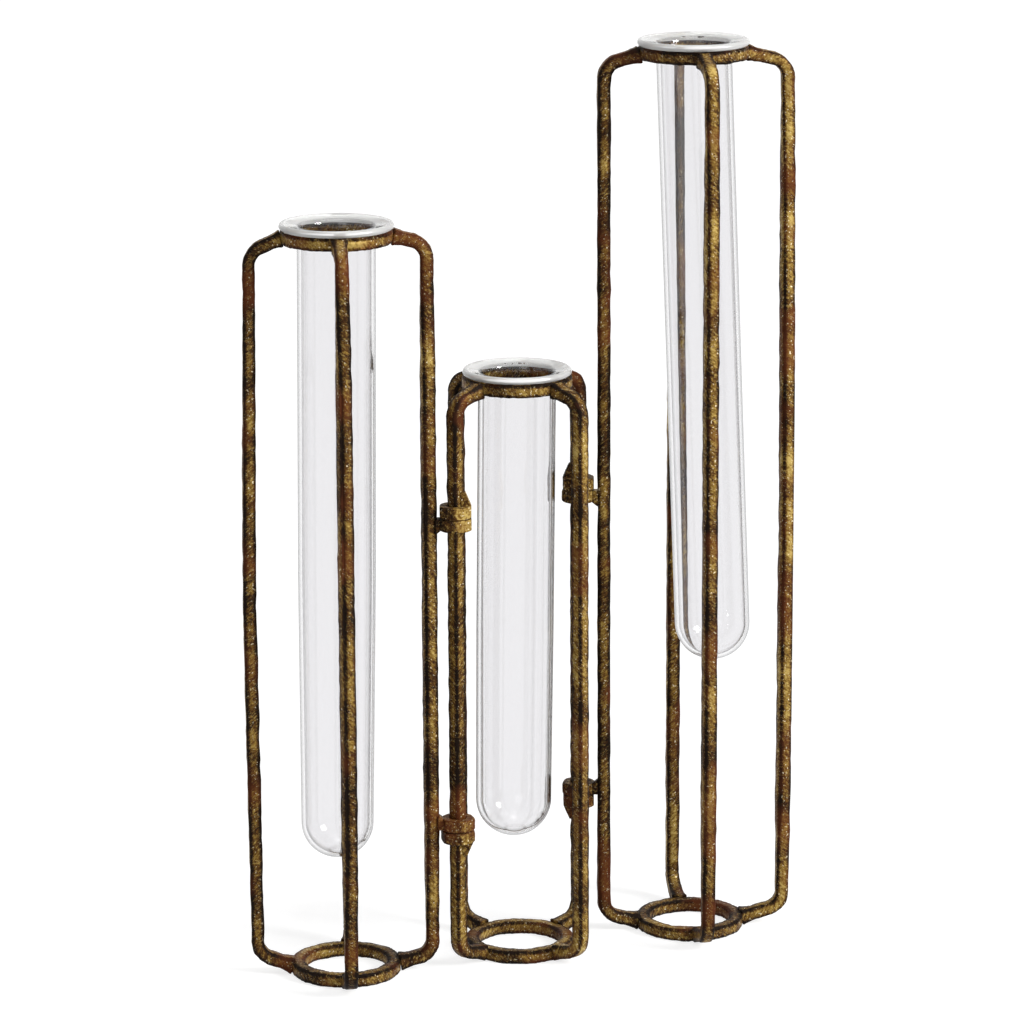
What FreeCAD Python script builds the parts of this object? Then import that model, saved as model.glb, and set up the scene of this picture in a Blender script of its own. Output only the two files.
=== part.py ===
"""A hinged vase: three cages of square bar, each holding a glass test tube by its lip.

Millimetres, +Z up. The origin is the middle of the footprint, on the floor. +X runs from the left cage
to the right cage and -Y is the front.
"""
import FreeCAD, Part
import math
import os
from collections import namedtuple
from FreeCAD import Rotation, Vector

# Square bar that the cages are bent from
BAR_SIDE = 4.2
BAR_CORNER = 0.8
BEND_RADIUS = 6.0
BOW_RADIUS = 400.0

# Rings at the top and the bottom of every cage
RING_BORE = 26.0
RING_WALL = 4.3
RING_HEIGHT = 4.2
RING_CORNER = 0.8

# Seat and weld of a bar's end on its ring
SEAT_INSET = 0.4
SEAT_BITE = 0.5
WELD_RISE = 0.6
WELD_RUN = 4.2

# Hexagonal nuts of the hinges
NUT_ACROSS_FLATS = 9.9
NUT_ACROSS_CORNERS = 11.1
NUT_HEIGHT = 3.9
NUT_CHAMFER = 0.5
NUT_SIDES = 6

# Fits of the hinges
PIN_CLEARANCE = 0.05
HINGE_PLAY = 0.15

# Hinge places
HINGE_REACH = 8.3
UPPER_HINGE_HEIGHT = 146.8
LOWER_HINGE_HEIGHT = 45.8

# Weld that fixes a collar nut to its bar
GUSSET_REACH = 4.9
GUSSET_TIP = 3.0
GUSSET_HEIGHT = 4.4
GUSSET_WIDTH = 3.0

# Link between a knuckle nut and its cage's bar
LINK_BITE = 0.5
LINK_NUT_WIDTH = 4.0
LINK_NUT_HEIGHT = 3.0
LINK_BAR_WIDTH = 3.4
LINK_BAR_HEIGHT = 6.0
LINK_INSET = 0.3
LINK_CORNER = 0.6

# Glass tubes
GLASS_WALL = 1.3
LIP_HEIGHT = 2.2
LIP_DISH = 1.5
LIP_RIM = 1.5
NECK_FLARE = 0.5
NECK_HEIGHT = 2.2
TAPER_START_SHARE = 0.55

# A bar's place in its cage: compass angle, share of the cage's reach half way up, slope of its bent
# ends, and how far out its lower and upper bends are as shares of its reach half way up
Bar = namedtuple("Bar", "name angle reach_share slope lower_share upper_share", defaults=(1.0, 1.0))

# A tube: radii at the neck and above the round end, length, lip radius, and which way its foot leans
Tube = namedtuple("Tube", "neck_radius low_radius length lip_radius lean lean_angle")

# A cage: its height, the distance from its axis to its bars, its bars and its tube
Cage = namedtuple("Cage", "name height reach bars tube")

LEFT = Cage(
    name="left", height=238.0, reach=28.0,
    bars=(Bar("right", 4.9, 0.98, 12.0), Bar("back", 89.4, 1.0, 14.0),
          Bar("left", 184.7, 1.02, 19.0, 0.972, 0.937), Bar("front", 275.4, 1.0, 14.0)),
    tube=Tube(neck_radius=12.15, low_radius=11.4, length=202.0, lip_radius=17.7,
              lean=0.65, lean_angle=180.0))
MIDDLE = Cage(
    name="middle", height=188.0, reach=27.3,
    bars=(Bar("back_right", 45.0, 1.0, 14.0), Bar("back_left", 135.0, 1.0, 14.0),
          Bar("front_left", 225.0, 1.0, 14.0), Bar("front_right", 315.0, 1.0, 14.0)),
    tube=Tube(neck_radius=12.25, low_radius=12.0, length=152.0, lip_radius=17.1,
              lean=0.7, lean_angle=180.0))
RIGHT = Cage(
    name="right", height=288.0, reach=29.2,
    bars=(Bar("right", 6.9, 1.057, 13.0, 0.984, 0.968), Bar("back", 99.1, 1.0, 15.0),
          Bar("left", 187.5, 0.966, 14.0), Bar("front", 279.3, 1.007, 15.0)),
    tube=Tube(neck_radius=11.9, low_radius=12.0, length=200.0, lip_radius=17.6,
              lean=2.1, lean_angle=0.0))

# A level of a hinge: the height where its two nuts meet, whether the collar is the upper one, and how
# far its nuts are turned from facing the link squarely
Level = namedtuple("Level", "name junction collar_above nut_turn")

# A hinge: the middle cage's bar that is its pin, the neighbour's bar that carries it, the compass angles
# of its links and of its collars' welds, and its levels
Hinge = namedtuple("Hinge", "side pin carrier angle gusset_angle levels")

LEFT_HINGE = Hinge(
    side="left", pin="front_left", carrier="right", angle=182.6, gusset_angle=0.0,
    levels=(Level("upper", UPPER_HINGE_HEIGHT, True, 0.0), Level("lower", LOWER_HINGE_HEIGHT, False, 15.0)))
RIGHT_HINGE = Hinge(
    side="right", pin="back_right", carrier="left", angle=-12.0, gusset_angle=180.0,
    levels=(Level("upper", UPPER_HINGE_HEIGHT, True, 0.0), Level("lower", LOWER_HINGE_HEIGHT, False, 0.0)))

RING_RADIUS = RING_BORE / 2 + RING_WALL
RIGHT_ANGLE = 90.0
FULL_TURN = 360.0
UP = Vector(0, 0, 1)


def heading(angle, length):
    """Vector of a length along a compass angle."""
    radians = math.radians(angle)
    return Vector(length * math.cos(radians), length * math.sin(radians), 0)


def turned(shape, angle, centre=Vector(0, 0, 0)):
    """Copy of a shape turned about the vertical axis and moved to a centre."""
    copy = shape.copy()
    copy.Placement = FreeCAD.Placement(centre, Rotation(UP, angle)).multiply(copy.Placement)
    return copy


def rounded_rectangle(width, height, corner, centre, across, along):
    """Wire of a rectangle with round corners, spanned by two unit vectors about a centre."""
    half_w, half_h = width / 2, height / 2
    flat_w, flat_h = half_w - corner, half_h - corner
    diagonal = corner * math.sqrt(0.5)
    edges = []
    for sign_w, sign_h in ((1, 1), (-1, 1), (-1, -1), (1, -1)):
        pivot = centre + across * (sign_w * flat_w) + along * (sign_h * flat_h)
        side = pivot + across * (sign_w * corner)
        top = pivot + along * (sign_h * corner)
        middle = pivot + across * (sign_w * diagonal) + along * (sign_h * diagonal)
        start, end = (side, top) if sign_w == sign_h else (top, side)
        if edges:
            edges.append(Part.makeLine(edges[-1].valueAt(edges[-1].LastParameter), start))
        edges.append(Part.Arc(start, middle, end).toShape())
    last = edges[-1].valueAt(edges[-1].LastParameter)
    edges.append(Part.makeLine(last, edges[0].valueAt(edges[0].FirstParameter)))
    return Part.Wire(edges)


def bar_reach(cage, bar):
    """Distance from the cage's axis to the centre line of a bar."""
    return cage.reach * bar.reach_share


def find_bar(cage, name):
    """The bar of a cage that has a name."""
    return next(bar for bar in cage.bars if bar.name == name)


def bar_place(cage, centre, bar):
    """Point on the floor below the centre line of a bar."""
    return centre + heading(bar.angle, bar_reach(cage, bar))


def bent_wire(points, radii):
    """Wire through a row of points, rounded with one radius at each inner point."""
    edges = []
    last = points[0]
    for before, knee, after, radius in zip(points, points[1:], points[2:], radii):
        into = (knee - before).normalize()
        onward = (after - knee).normalize()
        half_turn = into.getAngle(onward) / 2
        trim = radius * math.tan(half_turn)
        middle = knee + (onward - into).normalize() * radius * (1 / math.cos(half_turn) - 1)
        edges += [Part.makeLine(last, knee - into * trim),
                  Part.Arc(knee - into * trim, middle, knee + onward * trim).toShape()]
        last = knee + onward * trim
    return Part.Wire(edges + [Part.makeLine(last, points[-1])])


def bar_path(cage, bar):
    """Centre line of a bar in the plane through its cage's axis: arm, bend, upright, bend, arm."""
    reach = bar_reach(cage, bar)
    start = RING_RADIUS - SEAT_BITE
    seat = RING_HEIGHT / 2 + SEAT_INSET
    rise = math.tan(math.radians(bar.slope))
    lower, upper = reach * bar.lower_share, reach * bar.upper_share
    points = [Vector(start, 0, seat), Vector(lower, 0, seat + (lower - start) * rise),
              Vector(upper, 0, cage.height - seat - (upper - start) * rise),
              Vector(start, 0, cage.height - seat)]
    radii = [BEND_RADIUS, BEND_RADIUS]
    if lower < reach or upper < reach:
        points.insert(2, Vector(reach, 0, cage.height / 2))
        radii.insert(1, BOW_RADIUS)
    return bent_wire(points, radii)


def bar_section(point, slope, growth):
    """Wire of the bar's square section at a point of its sloping end, grown on every side."""
    side = BAR_SIDE + growth * 2
    square_up = Vector(-math.sin(slope), 0, math.cos(slope))
    return rounded_rectangle(side, side, BAR_CORNER + growth, point, Vector(0, 1, 0), square_up)


def make_bar(cage, centre, bar, rings):
    """One bent bar with a swollen weld at each end, its ends shaped to the two rings."""
    path = bar_path(cage, bar)
    slope = math.radians(bar.slope)
    start = path.Edges[0].valueAt(path.Edges[0].FirstParameter)
    run = Vector(math.cos(slope), 0, math.sin(slope)) * WELD_RUN
    solid = path.makePipeShell([bar_section(start, slope, 0)], True, False)
    weld = Part.makeLoft([bar_section(start, slope, WELD_RISE), bar_section(start + run, slope, 0)],
                         True, True)
    upper_weld = weld.mirror(Vector(0, 0, cage.height / 2), UP)
    solid = solid.fuse([weld, upper_weld])
    room = RING_RADIUS + bar_reach(cage, bar)
    solid = solid.common(Part.makeCylinder(room, cage.height)).removeSplitter()
    return turned(solid, bar.angle, centre).cut(rings)


def make_ring(centre, base):
    """One ring with rounded edges, standing at a base height."""
    section_centre = Vector(RING_BORE / 2 + RING_WALL / 2, 0, base + RING_HEIGHT / 2)
    section = rounded_rectangle(RING_WALL, RING_HEIGHT, RING_CORNER, section_centre, Vector(1, 0, 0), UP)
    ring = Part.Face(section).revolve(Vector(0, 0, 0), UP, FULL_TURN)
    return turned(ring, 0, centre)


def make_cage(cage, centre):
    """Rings and bars of one cage, by node name."""
    bottom = make_ring(centre, 0)
    top = make_ring(centre, cage.height - RING_HEIGHT)
    rings = Part.makeCompound([bottom, top])
    nodes = {cage.name + "_bottom_ring": bottom, cage.name + "_top_ring": top}
    for bar in cage.bars:
        nodes[cage.name + "_bar_" + bar.name] = make_bar(cage, centre, bar, rings)
    return nodes


def nut_blank():
    """Hexagonal nut with chamfered, worn corners, flats facing +X and -X, standing on the floor."""
    corner_radius = NUT_ACROSS_FLATS / math.sqrt(3)
    step = FULL_TURN / NUT_SIDES
    corners = [heading(step * (index + 0.5), corner_radius) for index in range(NUT_SIDES)]
    hexagon = Part.Face(Part.makePolygon(corners + corners[:1])).extrude(UP * NUT_HEIGHT)
    face, worn = NUT_ACROSS_FLATS / 2, NUT_ACROSS_CORNERS / 2
    profile = [Vector(0, 0, 0), Vector(face, 0, 0), Vector(worn, 0, NUT_CHAMFER),
               Vector(worn, 0, NUT_HEIGHT - NUT_CHAMFER), Vector(face, 0, NUT_HEIGHT),
               Vector(0, 0, NUT_HEIGHT)]
    round_blank = Part.Face(Part.makePolygon(profile + profile[:1])).revolve(Vector(0, 0, 0), UP, FULL_TURN)
    return hexagon.common(round_blank)


def pin_radius():
    """Radius of the circle through the rounded corners of the square bar."""
    return BAR_SIDE / math.sqrt(2) - BAR_CORNER * (math.sqrt(2) - 1)


def make_nut():
    """Nut bored to turn on the square bar."""
    bore = Part.makeCylinder(pin_radius() + PIN_CLEARANCE, NUT_HEIGHT)
    return nut_blank().cut(bore)


def make_collar(hinge, level, pin_point, pin_bar):
    """Nut welded to a bar of the middle cage, with the weld on its outer face."""
    profile = [Vector(0, 0, NUT_HEIGHT), Vector(GUSSET_REACH, 0, NUT_HEIGHT),
               Vector(GUSSET_TIP, 0, NUT_HEIGHT + GUSSET_HEIGHT), Vector(0, 0, NUT_HEIGHT + GUSSET_HEIGHT)]
    wedge = Part.Face(Part.makePolygon(profile + profile[:1])).extrude(Vector(0, GUSSET_WIDTH, 0))
    wedge.translate(Vector(0, -GUSSET_WIDTH / 2, 0))
    nut = turned(make_nut(), level.nut_turn)
    collar = nut.fuse(turned(wedge, hinge.gusset_angle)).removeSplitter()
    if not level.collar_above:
        collar = collar.mirror(Vector(0, 0, 0), UP)
    side = 1 if level.collar_above else -1
    return turned(collar, 0, pin_point + UP * (level.junction + side * HINGE_PLAY / 2)).cut(pin_bar)


def make_knuckle(hinge, level, pin_point):
    """Nut of a neighbour cage that turns on the pin."""
    base = level.junction + HINGE_PLAY / 2
    if level.collar_above:
        base = level.junction - HINGE_PLAY / 2 - NUT_HEIGHT
    return turned(make_nut(), hinge.angle + level.nut_turn, pin_point + UP * base)


def make_link(hinge, level, pin_point, knuckle, carrier_bar):
    """Short link from a knuckle to the cage's bar, deeper where it meets the bar."""
    side = -1 if level.collar_above else 1
    near = level.junction + side * HINGE_PLAY / 2
    nut_middle = near + side * (LINK_INSET + LINK_NUT_HEIGHT / 2)
    bar_middle = near + side * (LINK_INSET + LINK_BAR_HEIGHT / 2)
    across = Vector(0, 1, 0)
    nut_end = rounded_rectangle(LINK_NUT_WIDTH, LINK_NUT_HEIGHT, LINK_CORNER,
                                Vector(NUT_ACROSS_FLATS / 2 - LINK_BITE, 0, nut_middle), across, UP)
    bar_end = rounded_rectangle(LINK_BAR_WIDTH, LINK_BAR_HEIGHT, LINK_CORNER,
                                Vector(HINGE_REACH, 0, bar_middle), across, UP)
    link = Part.makeLoft([nut_end, bar_end], True, True)
    return turned(link, hinge.angle, pin_point).cut([knuckle, carrier_bar])


def make_hinge(hinge, pin_point, pin_bar, carrier_bar):
    """Collars, knuckles and links of one hinge, by node name."""
    nodes = {}
    for level in hinge.levels:
        prefix = level.name + "_" + hinge.side
        knuckle = make_knuckle(hinge, level, pin_point)
        nodes[prefix + "_collar"] = make_collar(hinge, level, pin_point, pin_bar)
        nodes[prefix + "_knuckle"] = knuckle
        nodes[prefix + "_link"] = make_link(hinge, level, pin_point, knuckle, carrier_bar)
    return nodes


def tube_body(tube, shrink, top):
    """Closed body of a tube below a top level, or the space inside it when shrunk by the wall."""
    neck, low = tube.neck_radius - shrink, tube.low_radius - shrink
    bottom = -tube.length + shrink
    taper = -tube.length * TAPER_START_SHARE
    round_start = bottom + low
    bend = low * math.sqrt(0.5)
    edges = [Part.makeLine(Vector(0, 0, top), Vector(neck, 0, top)),
             Part.makeLine(Vector(neck, 0, top), Vector(neck, 0, taper)),
             Part.makeLine(Vector(neck, 0, taper), Vector(low, 0, round_start)),
             Part.Arc(Vector(low, 0, round_start), Vector(bend, 0, round_start - bend),
                      Vector(0, 0, bottom)).toShape(),
             Part.makeLine(Vector(0, 0, bottom), Vector(0, 0, top))]
    return Part.Face(Part.Wire(edges)).revolve(Vector(0, 0, 0), UP, FULL_TURN)


def tube_lip(tube):
    """Level lip with a round edge, on a cone that narrows into the neck."""
    half = LIP_HEIGHT / 2
    rim = tube.lip_radius - half
    outer, inner = tube.neck_radius + NECK_FLARE, tube.neck_radius - NECK_FLARE
    under = -LIP_HEIGHT - NECK_HEIGHT
    bead = Part.Arc(Vector(rim, 0, 0), Vector(tube.lip_radius, 0, -half), Vector(rim, 0, -LIP_HEIGHT))
    edges = [Part.makeLine(Vector(0, 0, 0), Vector(rim, 0, 0)),
             bead.toShape(),
             Part.makeLine(Vector(rim, 0, -LIP_HEIGHT), Vector(outer, 0, -LIP_HEIGHT)),
             Part.makeLine(Vector(outer, 0, -LIP_HEIGHT), Vector(inner, 0, under)),
             Part.makeLine(Vector(inner, 0, under), Vector(0, 0, under)),
             Part.makeLine(Vector(0, 0, under), Vector(0, 0, 0))]
    return Part.Face(Part.Wire(edges)).revolve(Vector(0, 0, 0), UP, FULL_TURN)


def tube_mouth(tube):
    """Space of the mouth: a dish in the lip, then a funnel that meets the bore."""
    half = LIP_HEIGHT / 2
    edge = tube.lip_radius - LIP_RIM
    bore = tube.neck_radius - GLASS_WALL
    profile = [Vector(0, 0, LIP_HEIGHT), Vector(edge, 0, LIP_HEIGHT), Vector(edge, 0, 0),
               Vector(bore + half, 0, -LIP_DISH), Vector(bore - half, 0, -LIP_DISH - LIP_HEIGHT),
               Vector(0, 0, -LIP_DISH - LIP_HEIGHT)]
    return Part.Face(Part.makePolygon(profile + profile[:1])).revolve(Vector(0, 0, 0), UP, FULL_TURN)


def tube_axis(tube):
    """Unit vector up the tube's own, slightly leaning, axis."""
    foot = heading(tube.lean_angle, math.sin(math.radians(tube.lean)))
    return UP * math.cos(math.radians(tube.lean)) - foot


def make_tube(cage, centre):
    """Glass tube hanging by its level lip, its body leaning as it does in the cage."""
    tube = cage.tube
    lean = Rotation(UP, tube_axis(tube))
    body = tube_body(tube, 0, -LIP_HEIGHT / 2)
    bore = tube_body(tube, GLASS_WALL, 0)
    for shape in (body, bore):
        shape.Placement = FreeCAD.Placement(Vector(0, 0, 0), lean)
    glass = tube_lip(tube).fuse(body).cut(bore.fuse(tube_mouth(tube)))
    return turned(glass, 0, centre + UP * (cage.height + LIP_HEIGHT))


def neighbour_centre(hinge, pin_point, cage):
    """Floor centre of a cage hung on a hinge, from the pin through its carrier bar."""
    carrier = find_bar(cage, hinge.carrier)
    return pin_point + heading(hinge.angle, HINGE_REACH) - heading(carrier.angle, bar_reach(cage, carrier))


def build():
    """All solids by node name, and the places of the joints, about the middle cage's axis."""
    middle = Vector(0, 0, 0)
    nodes = make_cage(MIDDLE, middle)
    nodes[MIDDLE.name + "_tube"] = make_tube(MIDDLE, middle)
    places = {MIDDLE.name + "_cage": middle}
    for hinge, cage in ((LEFT_HINGE, LEFT), (RIGHT_HINGE, RIGHT)):
        pin_point = bar_place(MIDDLE, middle, find_bar(MIDDLE, hinge.pin))
        centre = neighbour_centre(hinge, pin_point, cage)
        nodes.update(make_cage(cage, centre))
        nodes[cage.name + "_tube"] = make_tube(cage, centre)
        nodes.update(make_hinge(hinge, pin_point, nodes[MIDDLE.name + "_bar_" + hinge.pin],
                                nodes[cage.name + "_bar_" + hinge.carrier]))
        places[cage.name + "_hinge"] = pin_point
        places[cage.name + "_cage"] = centre
    return nodes, places


def main():
    """Centre the footprint on the origin and write one file for each node."""
    nodes, places = build()
    box = Part.makeCompound(list(nodes.values())).optimalBoundingBox(False)
    shift = Vector(-box.Center.x, -box.Center.y, -box.ZMin)
    os.makedirs("parts", exist_ok=True)
    for name, shape in sorted(nodes.items()):
        shape.translate(shift)
        shape.exportStep("parts/" + name + ".step")
        print(name, len(shape.Solids), "solid", round(shape.Volume, 1), "mm3")
    for name, place in places.items():
        moved = place + shift
        print(name, "at", round(moved.x, 3), round(moved.y, 3))


main()
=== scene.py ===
"""Dresses the hinged vase: hammered, gilded square bar and clear glass test tubes."""
import logging
import math
from dataclasses import dataclass
from enum import Enum
from typing import Callable, Dict, List, Optional, Sequence, Tuple

import bpy
from mathutils import Matrix, Vector


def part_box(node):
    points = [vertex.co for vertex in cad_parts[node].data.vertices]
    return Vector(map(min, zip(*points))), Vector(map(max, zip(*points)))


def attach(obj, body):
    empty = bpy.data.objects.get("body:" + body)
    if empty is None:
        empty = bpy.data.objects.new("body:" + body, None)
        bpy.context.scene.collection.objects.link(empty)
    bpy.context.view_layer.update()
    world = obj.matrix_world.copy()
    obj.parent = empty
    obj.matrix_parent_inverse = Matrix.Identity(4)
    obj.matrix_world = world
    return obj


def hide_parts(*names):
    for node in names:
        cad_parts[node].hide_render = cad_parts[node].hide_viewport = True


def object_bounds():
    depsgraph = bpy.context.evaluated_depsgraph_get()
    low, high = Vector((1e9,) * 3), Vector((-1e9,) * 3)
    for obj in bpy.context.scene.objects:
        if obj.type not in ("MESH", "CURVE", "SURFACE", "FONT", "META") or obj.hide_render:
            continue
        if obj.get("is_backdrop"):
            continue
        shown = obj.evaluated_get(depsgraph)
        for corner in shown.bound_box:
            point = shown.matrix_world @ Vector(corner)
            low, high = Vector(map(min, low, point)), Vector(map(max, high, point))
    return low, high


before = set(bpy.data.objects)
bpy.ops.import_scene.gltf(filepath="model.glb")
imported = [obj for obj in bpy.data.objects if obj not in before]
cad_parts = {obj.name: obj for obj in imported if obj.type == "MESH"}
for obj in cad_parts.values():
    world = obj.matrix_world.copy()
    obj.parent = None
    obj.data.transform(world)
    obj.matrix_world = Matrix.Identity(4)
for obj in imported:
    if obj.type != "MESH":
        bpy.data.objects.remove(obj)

log = logging.getLogger("vase")

MM = 0.001
Colour = Tuple[float, float, float, float]
Lay = Tuple[float, float, float, float]
Place = Tuple[float, float, float]
Pair = Tuple[float, float]
Piece = bpy.types.Object
Finish = bpy.types.Material
Socket = bpy.types.NodeSocket


class Metalwork(Enum):
    """How a piece of metal was made, which says where its corners are darkened, by wear of the gilding and by
    painted shade.
    """

    FORGED = "forged"
    NUT = "nut"


def srgb(red: int, green: int, blue: int) -> Colour:
    """Linear colour of an 8-bit screen colour, by the screen's standard curve.

    Args:
        red, green, blue: The parts of the colour, from 0 to 255.

    Returns:
        The colour as linear red, green, blue and an alpha of 1.
    """
    parts = []
    for value in (red, green, blue):
        share = value / 255
        parts.append(share / 12.92 if share <= 0.04045 else ((share + 0.055) / 1.055) ** 2.4)
    return (parts[0], parts[1], parts[2], 1.0)


def grey(level: float) -> Colour:
    """Opaque grey of a level from 0 to 1."""
    return (level, level, level, 1.0)


def held(share: float) -> float:
    """A share kept between 0 and 1."""
    return min(1.0, max(0.0, share))


def node_centre(node: str) -> Vector:
    """Middle of a node's box at rest."""
    low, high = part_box(node)
    return (Vector(low) + Vector(high)) / 2


@dataclass(frozen=True)
class Noise:
    """One grey noise, with the settings of a Noise Texture node."""

    scale: float
    detail: float
    roughness: float = 0.5
    distortion: float = 0.0


class NodeTree:
    """A short way to add and link the nodes of one material or world."""

    def __init__(self, owner: bpy.types.ID) -> None:
        """Starts an empty tree.

        Args:
            owner: The material or world to fill.
        """
        owner.use_nodes = True
        self.tree = owner.node_tree
        self.tree.nodes.clear()

    def add(self, kind: str, inputs: Optional[Dict[object, object]] = None,
            **settings: object) -> bpy.types.Node:
        """Adds a node, sets its properties and fills or links its inputs.

        Args:
            kind: The node's type name after ShaderNode.
            inputs: Value or output socket by input name or number.
            **settings: The node's own properties.

        Returns:
            The new node.
        """
        node = self.tree.nodes.new(f"ShaderNode{kind}")
        for name, value in settings.items():
            setattr(node, name, value)
        for name, value in (inputs or {}).items():
            if isinstance(value, Socket):
                self.tree.links.new(value, node.inputs[name])
            else:
                node.inputs[name].default_value = value
        return node

    def math(self, operation: str, first: object, second: object = 0.0, third: object = 0.0,
             clamp: bool = False) -> Socket:
        """Result of a sum on up to three values or sockets."""
        inputs = {0: first, 1: second, 2: third}
        return self.add("Math", inputs, operation=operation, use_clamp=clamp).outputs[0]

    def ramp(self, factor: Socket, stops: Sequence[Tuple[float, Colour]]) -> Socket:
        """Colour of a ramp at a factor.

        Args:
            factor: Where on the ramp to read.
            stops: Place and colour of each stop, in order.

        Returns:
            The ramp's colour socket.
        """
        node = self.add("ValToRGB", {0: factor})
        elements = node.color_ramp.elements
        while len(elements) < len(stops):
            elements.new(1.0)
        for element, (place, colour) in zip(elements, stops):
            element.position = place
            element.color = colour
        return node.outputs["Color"]

    def mask(self, factor: Socket, rise: Pair, most: float = 1.0) -> Socket:
        """Share that is 0 up to a range of the factor, rises over it and keeps its most beyond it."""
        return self.ramp(factor, ((rise[0], grey(0.0)), (rise[1], grey(most))))

    def noise(self, vector: Socket, layer: Noise) -> Socket:
        """Grey noise on a vector."""
        inputs = {"Vector": vector, "Scale": layer.scale, "Detail": layer.detail,
                  "Roughness": layer.roughness, "Distortion": layer.distortion}
        return self.add("TexNoise", inputs).outputs[0]

    def mix(self, factor: Socket, first: object, second: object) -> Socket:
        """Mix of two colours, which a Mix node takes at inputs 6 and 7 and gives at output 2."""
        return self.add("Mix", {0: factor, 6: first, 7: second}, data_type="RGBA").outputs[2]

    def mapped(self, vector: Socket, change: str, values: Sequence[float]) -> Socket:
        """A vector after one change of a Mapping node: its Location, Rotation or Scale."""
        return self.add("Mapping", {"Vector": vector, change: values}).outputs[0]

    def stored(self, name: str, output: str = "Fac") -> Socket:
        """What a piece's mesh has stored under a name."""
        return self.add("Attribute", attribute_name=name).outputs[output]

    def shown(self) -> Socket:
        """Tells the rays that show a surface from those that only light it.

        Returns:
            1 where it is seen straight, mirrored or through glass, and otherwise 0.
        """
        rays = self.add("LightPath").outputs
        seen = self.math("MAXIMUM", rays["Is Camera Ray"], rays["Is Glossy Ray"])
        return self.math("MAXIMUM", seen, rays["Is Transmission Ray"])


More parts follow.
